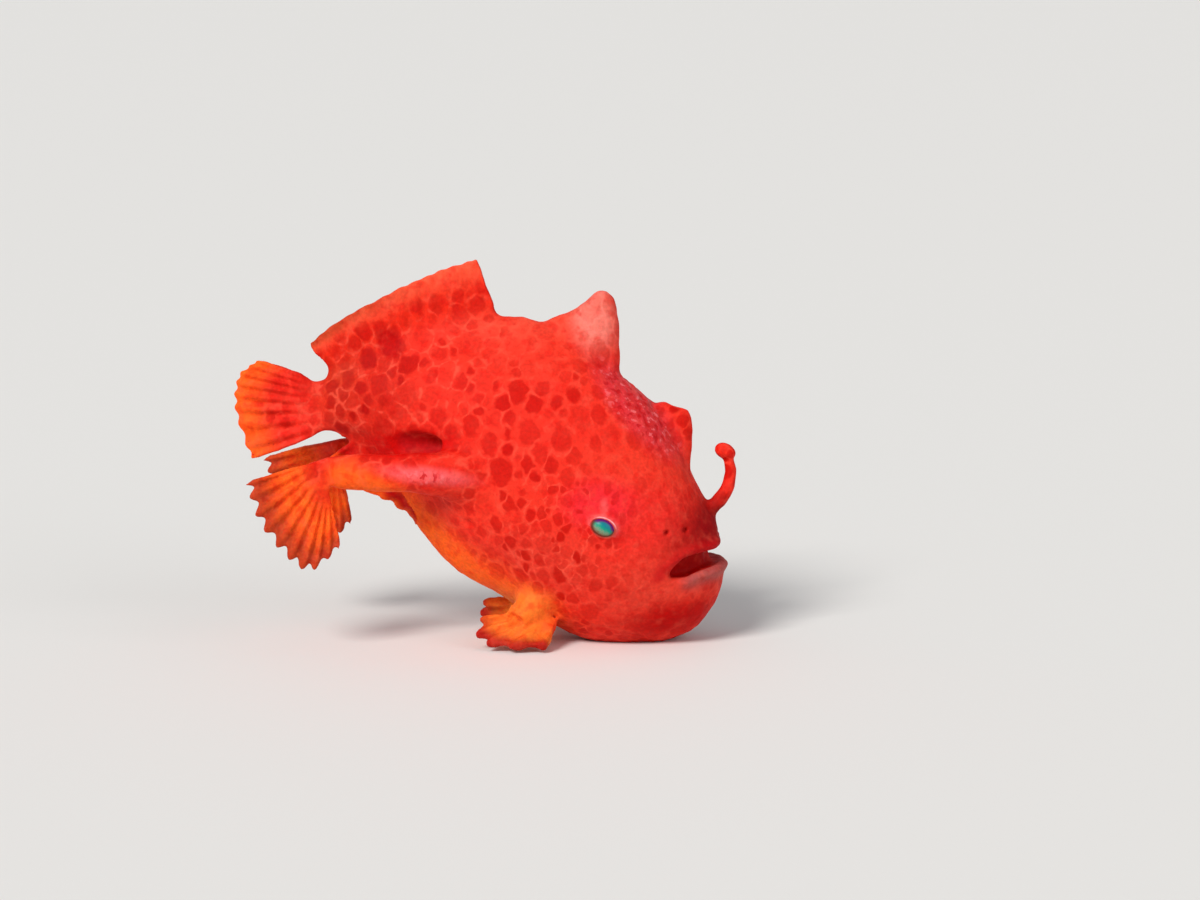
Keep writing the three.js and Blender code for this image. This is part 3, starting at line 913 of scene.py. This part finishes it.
# Ovals of the picture, in pixels: middle, radii, tilt in degrees, softness of the rim,
# colour, its share, and how strong the blotches are on it
BODY_PATCHES = {
    "saddle": ((545, 345), (75, 38), 0, 0.6, SALMON, 0.7, 0.45),
    "saddle_edge": ((530, 316), (75, 22), 0, 0.6, PEACH, 0.5, 0.3),
    "rear_torso": ((368, 388), (44, 56), 0, 0.6, REAR_RED, 0.8, 1.0),
    "dorsal_rear": ((334, 358), (22, 52), 0, 0.6, FIN_BROWN, 0.4, 0.5),
    "flank": ((470, 510), (60, 30), 0, 0.6, SALMON, 0.8, 0.9),
    "low_cheek": ((540, 568), (60, 34), 0, 0.6, CHEEK_RED, 0.8, 1.0),
    "brow": ((636, 470), (60, 26), 0, 0.6, SALMON, 1.0, 0.3),
    "face": ((646, 524), (46, 38), 0, 0.6, FACE_RED, 0.9, 0.3),
    "cheek": ((655, 588), (56, 36), -20, 0.6, CHEEK_RED, 1.0, 0.3),
    "round_eye": ((598, 505), (34, 24), 0, 0.6, HALO, 0.9, 0.6),
    "third_spine": ((596, 316), (22, 34), 0, 0.6, SPINE_PINK, 0.8, 0.2),
}
UNDER_PATCHES = {
    # Painted shade: deep red for the shadow on the underside of the chin
    "chin_shade": ((676, 618), (48, 15), -12, 0.6, DEEP_RED, 1.0, 0.3),
    "nape": ((637, 409), (58, 19), 50, 0.5, NAPE_PINK, 1.0, 0.4),
}
LIMB_PATCHES = {
    "dorsal_spot": ((390, 344), (12, 16), -25, 0.25, DEEP_RED, 1.0, 0.2),
    # Painted shade: dark crimson for the shadow in the hollow between the arm and the body
    "armpit_shade": ((410, 444), (50, 15), -4, 0.35, ARMPIT_SHADE, 1.0, 0.2),
    "ankle": ((520, 612), (34, 24), 0, 0.5, FOOT_ORANGE, 1.0, 0.2),
    # Painted highlight: a pink sheen along the top of the arm
    "arm_ridge_highlight": ((428, 476), (42, 8), 6, 0.6, RIDGE_HIGHLIGHT, 0.9, 0.1),
    # Painted shade: dark crimson for the snout in shadow over the mouth
    "snout_rear_shade": ((698, 545), (30, 34), 0, 0.7, SNOUT_SHADE, 0.6, 0.1),
    "snout_front_shade": ((711, 528), (20, 34), 4, 0.7, SNOUT_SHADE, 1.0, 0.1),
    # Painted highlight: a pale pink streak above the eye
    "eye_highlight": ((604, 509), (4, 9), 0, 0.7, PALE_PINK, 0.6, 0.0),
}

# Where the skin is wet and glossier, with painted glints and painted shade in its folds: the nape,
# and the arm's ridge
WET_GLINT_AND_SHADE_PATCHES = [
    ((637, 409), (55, 18), 50, 0.4),
    ((424, 478), (24, 6), 4, 0.5),
]

# Where the blotches are small, where the net is strong, how much smaller they are there and
# at the front, over which share of the length, and the net's least strength and its gain
SMALL_SPOTS = ((560, 520), (58, 64), 0, 0.5)
REAR_NET = ((400, 395), (120, 95), 0, 0.5)
SMALL_SHRINK = 0.4
FRONT_SHRINK = 0.25
FRONT_SHARE = (0.25, 0.5)
NET_LEAST = 0.14
NET_GAIN = 0.36

# The lower edge of the belly and arm in the picture, painted orange as a glow of light
# shining through it, over which distance that ends, from which row down it goes, and the
# belly's share of the height and length
BELLY_GLOW_BAND = [[345, 480], [385, 502], [425, 535], [464, 572], [508, 602]]
BAND_FADE = (6, 32)
BELLY_ROWS = (455, 485)
BELLY_HEIGHT = (0.03, 0.2)
BELLY_LENGTH = (0.4, 0.6)

# Shares of a fin's reach over which its base and its margin take their colours, and where
# the dorsal fin turns brown, outwards and to the rear
FIN_BASE = (0.0, 0.5)
FIN_RIM = (0.55, 0.95)
BROWN_OUT = (0.7, 1.0)
BROWN_REAR = (0.2, 0.9)

# Round the mouth: the middle and spread of each lip's band, the upper one painted shade,
# where they change, over which share of the line the lower one begins, the depths over
# which the mouth and the other pits turn dark with painted shade, and how far from its line
# these begin
UPPER_LIP_SHADE = (0.3, 0.25)
LOWER_LIP = (0.45, 0.26)
LIP_CHANGE = (-0.12, 0.12)
LOWER_START = (0.0, 0.3)
MOUTH_DARK = (0.06, 0.3)
PIT_DARK = (0.02, 0.25)
MOUTH_REACH = 0.6

# Rings round the eye, 1 on the rim of its oval: middle and spread; how far above the long
# axis the painted highlight on its rim begins, and how far below it the pink ring ends
LID_RING = (1.25, 0.3)
LID_ABOVE = (1.17, 0.07)
LID_BELOW = (1.08, 0.1)
PALE_FROM = (0.3, 1.0)
RING_END = -0.5


def lay(paint, amount, tint, pattern):
    """Mixes a colour and a strength of the blotches into the skin, by an amount for each
    point."""
    paint["colour"] += amount[:, None] * (np.array(tint) - paint["colour"])
    paint["pattern"] += amount * (pattern - paint["pattern"])


def lay_patches(paint, seen, patches):
    """Lays ovals of the picture, one after another."""
    for centre, radii, tilt, soft, tint, share, pattern in patches.values():
        lay(paint, share * oval(seen, centre, radii, tilt, soft), tint, pattern)


def lay_belly_glow(paint, seen, fields):
    """Painted glow of light shining through: the orange of the belly, and of the edge that it
    shows to the camera.
    """
    low = (1 - ease(fields["height"], *BELLY_HEIGHT)) * ease(fields["length"], *BELLY_LENGTH)
    low *= ease(seen[:, 1], *BELLY_ROWS)
    band = 1 - ease(along_line(seen, BELLY_GLOW_BAND)[0], *BAND_FADE)
    # Painted glow where light shines through the belly and its edge
    lay(paint, np.maximum(low, band), ORANGE, 0.25)


def lay_fins(paint, fields):
    """Each fin's own colours, and a browner rear margin on the dorsal fin."""
    out = fields["fin_out"]
    for n, (base, margin, pattern) in enumerate(FIN_TINTS):
        here = fields["fin"] == n
        lay(paint, here * ease(out, *FIN_BASE), base, pattern)
        lay(paint, here * ease(out, *FIN_RIM), margin, 0.3)
    on_dorsal = fields["fin"] == FINS.index((SOFT_DORSAL, False))
    rear = on_dorsal * ease(out, *BROWN_OUT) * ease(fields["fin_across"], *BROWN_REAR)
    lay(paint, rear, FIN_BROWN, 0.3)


def lay_mouth(paint, fields):
    """Painted shade in crimson above the mouth, a dull pink lip below, and painted shade inside it
    and in the pits.
    """
    gap, depth = fields["mouth_gap"], fields["depth"]
    below = ease(fields["below_mouth"], *LIP_CHANGE)
    # Painted shade: crimson over the upper lip
    lay(paint, 0.8 * hump(gap, *UPPER_LIP_SHADE) * (1 - below), SHADE_CRIMSON, 0.1)
    lip = hump(gap, *LOWER_LIP) * below * ease(fields["mouth_share"], *LOWER_START)
    lay(paint, lip, DULL_PINK, 0.05)
    # Painted shade inside the mouth and in the pits, darker the deeper they go
    lay(paint, ease(depth, *MOUTH_DARK) * (gap < MOUTH_REACH), MOUTH_SHADE, 0)
    lay(paint, ease(depth, *PIT_DARK) * (gap > MOUTH_REACH), SHADE_CRIMSON, 0.2)


def lay_lids(paint, fields):
    """A pink ring round the eye, with a painted highlight on its rim above and a tan rim below."""
    away = fields["eye_gap"]
    above = ease(fields["eye_above"], *PALE_FROM)
    lay(paint, 0.6 * hump(away, *LID_RING) * (fields["eye_above"] > RING_END), PALE_PINK, 0)
    # Painted highlight along the rim above the eye
    lay(paint, above * hump(away, *LID_ABOVE), LID_HIGHLIGHT, 0)
    lay(paint, (1 - above) * hump(away, *LID_BELOW), LID_TAN, 0)


def coloured(mesh, fields):
    """Region colours and the pattern's measures, as attributes of the mesh."""
    points = points_of(mesh)
    seen = picture(points)
    paint = {"colour": np.tile(RED, (len(points), 1)), "pattern": np.ones(len(points))}
    lay_patches(paint, seen, BODY_PATCHES)
    lay_belly_glow(paint, seen, fields)
    lay_patches(paint, seen, UNDER_PATCHES)
    lay_fins(paint, fields)
    lay_patches(paint, seen, LIMB_PATCHES)
    lay_mouth(paint, fields)
    lay_lids(paint, fields)

    small = oval(seen, *SMALL_SPOTS)
    forward = 1 - ease(fields["length"], *FRONT_SHARE)
    outside, lead, shade = blotches(points, 1 - FRONT_SHRINK * forward - SMALL_SHRINK * small)
    netted = NET_LEAST + NET_GAIN * np.maximum(small, oval(seen, *REAR_NET))
    store(mesh, "region", paint["colour"])
    store(mesh, "outside", outside)
    store(mesh, "lead", lead)
    store(mesh, "shade", shade * paint["pattern"])
    store(mesh, "netted", netted * paint["pattern"])
    store(mesh, "wet", np.max([oval(seen, *patch) for patch in WET_GLINT_AND_SHADE_PATCHES], axis=0))


def store(mesh, name, values):
    """Keeps a number or a colour for each point of the mesh."""
    if values.ndim == 2:
        values = np.column_stack([values, np.ones(len(values))])
        layer, key = mesh.attributes.new(name, "FLOAT_COLOR", "POINT"), "color"
    else:
        layer, key = mesh.attributes.new(name, "FLOAT", "POINT"), "value"
    layer.data.foreach_set(key, values.astype(np.float32).ravel())


# Materials

# The noises of the skin: how many lumps a millimetre has
SKIN_NOISES = {
    "patchy": 0.9, "soft": 2.6, "mottle": 3.4, "folds": 4.5, "ragged": 7.0, "grain": 11.0,
}
PORES = 8.5

# Steps in the skin's mixes: from which value to which, and what these become
SKIN_STEPS = {
    "warm": (0.45, 0.75, 0.0, 0.22),
    "mottle": (0.5, 0.7, 0.0, 0.7),
    "inside": (-0.04, 0.07, 1.0, 0.0),
    "own_side": (0.0, 0.12, 0.0, 1.0),
    "net": (0.0, 0.09, 1.0, 0.0),
    "net_breaks": (0.4, 0.62, 0.1, 1.0),
    # Painted shade in the wet folds' hollows and painted glints on their crests
    "glint": (0.57, 0.68, 0.0, 0.8),
    "hollow": (0.36, 0.46, 0.8, 0.0),
    "tone": (0.3, 0.7, 0.9, 1.06),
    "dry": (0.3, 0.7, 0.6, 0.7),
}

# How ragged the blotches' rims are, the heights of grain, net and folds beside the pores, and
# how much glossier the wet places are
RAGGED = 0.08
GRAIN_HEIGHT = 0.8
NET_HEIGHT = 0.5
FOLD_HEIGHT = 6.0
WET_SHINE = 0.25

# The iris from below to above, its two rims, and the steps in their mixes
EYE_BANDS = [
    (0.00, (0.20, 0.10, 0.05)),
    (0.22, (0.17, 0.27, 0.17)),
    (0.50, (0.005, 0.27, 0.17)),
    (0.80, (0.003, 0.17, 0.21)),
]
EYE_VIOLET = (0.10, 0.004, 0.12)
EYE_BROWN = (0.10, 0.020, 0.010)
EYE_LEAN = 0.15
EYE_FLECKS = 14.0
EYE_STEPS = {
    "fleck": (0.2, 0.8, -0.15, 0.15),
    "bands": (-1.0, 1.0, 0.0, 1.0),
    "upper": (0.0, 0.5, 0.0, 1.0),
    "violet": (0.62, 0.86, 0.0, 1.0),
    "brown": (0.74, 1.0, 0.0, 0.85),
}


def add(tree, kind, inputs=None, **settings):
    """A node with its settings, and each input either set or linked."""
    node = tree.nodes.new("ShaderNode" + kind)
    for name, value in settings.items():
        setattr(node, name, value)
    for name, value in (inputs or {}).items():
        if isinstance(value, bpy.types.NodeSocket):
            tree.links.new(value, node.inputs[name])
        else:
            node.inputs[name].default_value = value
    return node


def work_out(tree, operation, a, b=0.0, c=0.0):
    return add(tree, "Math", {0: a, 1: b, 2: c}, operation=operation).outputs[0]


def noise_of(tree, where, scale):
    """Soft noise from 0 to 1, with that many lumps a millimetre."""
    return add(tree, "TexNoise", {"Vector": where, "Scale": scale, "Detail": 2.0}).outputs[0]


def remap(tree, value, start, end, to_start, to_end):
    """Turns start to end into two other values, smooth between."""
    inputs = {0: value, 1: start, 2: end, 3: to_start, 4: to_end}
    return add(tree, "MapRange", inputs, interpolation_type="SMOOTHSTEP").outputs[0]


def mixed(tree, factor, a, b, blend_type="MIX"):
    node = add(tree, "Mix", {0: factor, 6: a, 7: b}, data_type="RGBA", blend_type=blend_type)
    return node.outputs[2]


def rgba(colour):
    return (*colour, 1.0)


def new_material(name):
    material = bpy.data.materials.new(name)
    material.use_nodes = True
    material.node_tree.nodes.clear()
    return material, material.node_tree


def finish_material(tree, inputs):
    """Joins the surface's shader to the output."""
    shader = add(tree, "BsdfPrincipled", inputs)
    output = add(tree, "OutputMaterial")
    tree.links.new(shader.outputs[0], output.inputs[0])


def millimetres(tree):
    there = add(tree, "TexCoord").outputs["Object"]
    return add(tree, "Mapping", {"Vector": there, "Scale": (1 / MM,) * 3}).outputs[0]


def attribute(tree, name, output="Fac"):
    return add(tree, "Attribute", attribute_name=name).outputs[output]


def skin_colour(tree, noises, wet):
    """The region's colour with its mottling, the blotches, the pale net, and the painted glints
    and painted shade of the wet folds, and how much of the net shows."""
    jitter = work_out(tree, "MULTIPLY_ADD", noises["ragged"], RAGGED, -RAGGED / 2)
    region = attribute(tree, "region", "Color")
    warm = mixed(tree, remap(tree, noises["soft"], *SKIN_STEPS["warm"]), region, rgba(NET))
    dusky = mixed(tree, 1.0, region, rgba(MOTTLE_SHADE), "MULTIPLY")
    warm = mixed(tree, remap(tree, noises["mottle"], *SKIN_STEPS["mottle"]), warm, dusky)

    outside = work_out(tree, "ADD", attribute(tree, "outside"), jitter)
    lead = work_out(tree, "ADD", attribute(tree, "lead"), jitter)
    inside = remap(tree, outside, *SKIN_STEPS["inside"])
    inside = work_out(tree, "MULTIPLY", inside, remap(tree, lead, *SKIN_STEPS["own_side"]))
    dark = work_out(tree, "MULTIPLY", inside, attribute(tree, "shade"))
    blotch = mixed(tree, 1.0, region, rgba(BLOTCH_SHADE), "MULTIPLY")
    colour = mixed(tree, dark, warm, blotch)

    net = remap(tree, lead, *SKIN_STEPS["net"])
    net = work_out(tree, "MULTIPLY", net, attribute(tree, "netted"))
    breaks = remap(tree, noises["soft"], *SKIN_STEPS["net_breaks"])
    net = work_out(tree, "MULTIPLY", net, breaks)
    colour = mixed(tree, net, colour, rgba(NET))
    # Where wet, painted shade in the hollows of the folds and painted glints on their crests
    for step, tint in (("hollow", SHADE_CRIMSON), ("glint", GLINT)):
        share = work_out(tree, "MULTIPLY", remap(tree, noises["folds"], *SKIN_STEPS[step]), wet)
        colour = mixed(tree, share, colour, rgba(tint))
    tone = remap(tree, noises["grain"], *SKIN_STEPS["tone"])
    return add(tree, "HueSaturation", {"Color": colour, "Value": tone}).outputs[0], net


def skin_relief(tree, where, noises, net, wet):
    """Pores and grain, with the net a little raised and the wet places folded."""
    pores = add(
        tree, "TexVoronoi", {"Vector": where, "Scale": PORES}, feature="SMOOTH_F1"
    ).outputs["Distance"]
    relief = work_out(tree, "MULTIPLY_ADD", noises["grain"], GRAIN_HEIGHT, pores)
    relief = work_out(tree, "MULTIPLY_ADD", net, NET_HEIGHT, relief)
    wrinkles = work_out(tree, "MULTIPLY", noises["folds"], FOLD_HEIGHT)
    relief = work_out(tree, "MULTIPLY_ADD", wrinkles, wet, relief)
    bump = add(tree, "Bump", {"Height": relief, "Strength": 0.35, "Distance": 0.02 * MM})
    return bump.outputs[0]


def skin_material():
    """Red skin, dull where it is dry and glossier where it is wet."""
    material, tree = new_material("moist_red_skin")
    where = millimetres(tree)
    wet = attribute(tree, "wet")
    noises = {name: noise_of(tree, where, scale) for name, scale in SKIN_NOISES.items()}
    colour, net = skin_colour(tree, noises, wet)
    dry = remap(tree, noises["patchy"], *SKIN_STEPS["dry"])
    finish_material(tree, {
        "Base Color": colour,
        "Roughness": work_out(tree, "MULTIPLY_ADD", wet, -WET_SHINE, dry),
        "Normal": skin_relief(tree, where, noises, net, wet),
        "Subsurface Weight": 0.35,
        "Subsurface Radius": (1.0, 0.2, 0.1),
        "Subsurface Scale": 0.2 * MM,
        "Specular IOR Level": 0.09,
    })
    return material


def iris_bands(tree, height):
    """The iris's colours by height."""
    ramp = add(tree, "ValToRGB", {0: height})
    bands = ramp.color_ramp.elements
    while len(bands) < len(EYE_BANDS):
        bands.new(0.5)
    for element, (position, tint) in zip(bands, EYE_BANDS):
        element.position = position
        element.color = rgba(tint)
    return ramp.outputs[0]


def eye_material():
    """A teal iris, tan below, with a violet rim above and a brown one below."""
    material, tree = new_material("wet_eye")
    where = millimetres(tree)
    axes = add(tree, "SeparateXYZ", {0: where})
    a = work_out(tree, "DIVIDE", axes.outputs[0], EYE["long"])
    b = work_out(tree, "DIVIDE", axes.outputs[2], EYE["short"])
    height = work_out(tree, "MULTIPLY_ADD", a, EYE_LEAN, b)
    fleck = remap(tree, noise_of(tree, where, EYE_FLECKS), *EYE_STEPS["fleck"])
    height = work_out(tree, "ADD", height, fleck)
    iris = iris_bands(tree, remap(tree, height, *EYE_STEPS["bands"]))

    square = work_out(tree, "MULTIPLY_ADD", a, a, work_out(tree, "MULTIPLY", b, b))
    radius = work_out(tree, "SQRT", square)
    upper = remap(tree, height, *EYE_STEPS["upper"])
    violet = work_out(tree, "MULTIPLY", upper, remap(tree, radius, *EYE_STEPS["violet"]))
    brown = remap(tree, radius, *EYE_STEPS["brown"])
    colour = mixed(tree, brown, iris, rgba(EYE_BROWN))
    colour = mixed(tree, violet, colour, rgba(EYE_VIOLET))
    finish_material(tree, {"Base Color": colour, "Roughness": 0.35, "Specular IOR Level": 0.2})
    return material


def floor_material():
    material, tree = new_material("pale_floor")
    finish_material(tree, {"Base Color": rgba(FLOOR_COLOUR), "Roughness": 0.8})
    return material


# Pieces

def in_frame(points):
    """Level millimetres to the frame's metres."""
    return (np.asarray(points) + [SHIFT, 0, 0]) * MM


def fields_of(mesh):
    """How each point of the skin lies to the mouth, the body, the fins and the eyes."""
    points = points_of(mesh)
    flat = own(points)[:, [0, 2]]
    fields = {}
    fields["mouth_gap"], fields["mouth_share"] = along_line(flat, MOUTH)
    line = blend(MOUTH, fields["mouth_share"])
    fields["below_mouth"] = (line[:, 1] - flat[:, 1]) + (flat[:, 0] - line[:, 0])
    fields["length"], fields["height"], fields["depth"] = body_place(points)
    fields["fin"], fields["fin_across"], fields["fin_out"] = fin_place(points)
    fields["eye_gap"], fields["eye_above"] = eye_place(points)
    return fields


def make_skin():
    """The one skin round all the flesh."""
    mesh = joined_flesh()
    fields = fields_of(mesh)
    shaped(mesh, fields)
    coloured(mesh, fields)
    place(mesh, in_frame(points_of(mesh)))
    mesh.shade_smooth()
    mesh.materials.append(skin_material())
    obj = bpy.data.objects.new("skin", mesh)
    bpy.context.collection.objects.link(obj)
    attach(obj, "root")
    flesh = [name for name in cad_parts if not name.startswith("eye")]
    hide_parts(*flesh)


def make_eye(side, name, material):
    """A flat dome with the photo's oval outline, standing a little out of the skin."""
    wide = EYE["spread"]
    cut_height = math.sqrt(1 - 1 / wide**2)
    deep = EYE["dome"] / (1 - cut_height)
    rings = ball([0, 0, 0], [EYE["long"] * wide, deep, EYE["short"] * wide], 40, 64)
    obj = object_of(name, tube(rings))
    place(obj.data, points_of(obj.data) * MM)
    obj.data.shade_smooth()
    x, y, z = eye_centre(side)
    y -= side * (EYE["sunk"] + deep * cut_height)
    obj.location = Vector(in_frame([x, y, z]))
    obj.rotation_euler = (0, EYE["tilt"], 0)
    obj.data.materials.append(material)
    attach(obj, "root")
    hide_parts(name.replace("ball_", ""))


# Camera, floor and light

def make_camera():
    """Looks from the fish's right, a little down."""
    data = bpy.data.cameras.new("camera")
    data.lens = LENS
    data.sensor_width = SENSOR
    data.clip_start = 0.001
    data.clip_end = 40.0
    camera = bpy.data.objects.new("camera", data)
    bpy.context.collection.objects.link(camera)
    back = Vector((0, -math.cos(CAMERA_ELEVATION), math.sin(CAMERA_ELEVATION)))
    camera.location = Vector(in_frame(CAMERA_AIM)) + back * CAMERA_DISTANCE * MM
    camera.rotation_euler = back.to_track_quat("Z", "Y").to_euler()
    bpy.context.scene.camera = camera


def make_sun(name, toward, spread, strength, colour):
    data = bpy.data.lights.new(name, "SUN")
    data.angle = math.radians(spread)
    data.energy = strength
    data.color = colour
    light = bpy.data.objects.new(name, data)
    bpy.context.collection.objects.link(light)
    light.rotation_euler = Vector(toward).to_track_quat("Z", "Y").to_euler()


def make_floor():
    half = FLOOR_HALF_WIDTH
    corners = np.array([(-half, -half, 0), (half, -half, 0), (half, half, 0), (-half, half, 0)])
    floor = object_of("floor", (corners, [(0, 1, 2, 3)]))
    floor.data.materials.append(floor_material())


def make_world():
    world = bpy.data.worlds.new("pale_world")
    world.use_nodes = True
    background = world.node_tree.nodes["Background"]
    background.inputs[0].default_value = rgba(SKY_COLOUR)
    background.inputs[1].default_value = SKY_STRENGTH
    bpy.context.scene.world = world


make_skin()
iris = eye_material()
make_eye(RIGHT, "ball_eye_right", iris)
make_eye(LEFT, "ball_eye_left", iris)
make_camera()
make_floor()
make_world()
for name, light in LIGHTS.items():
    make_sun(name, *light)
bpy.context.scene.view_settings.view_transform = "Standard"
bpy.context.view_layer.update()
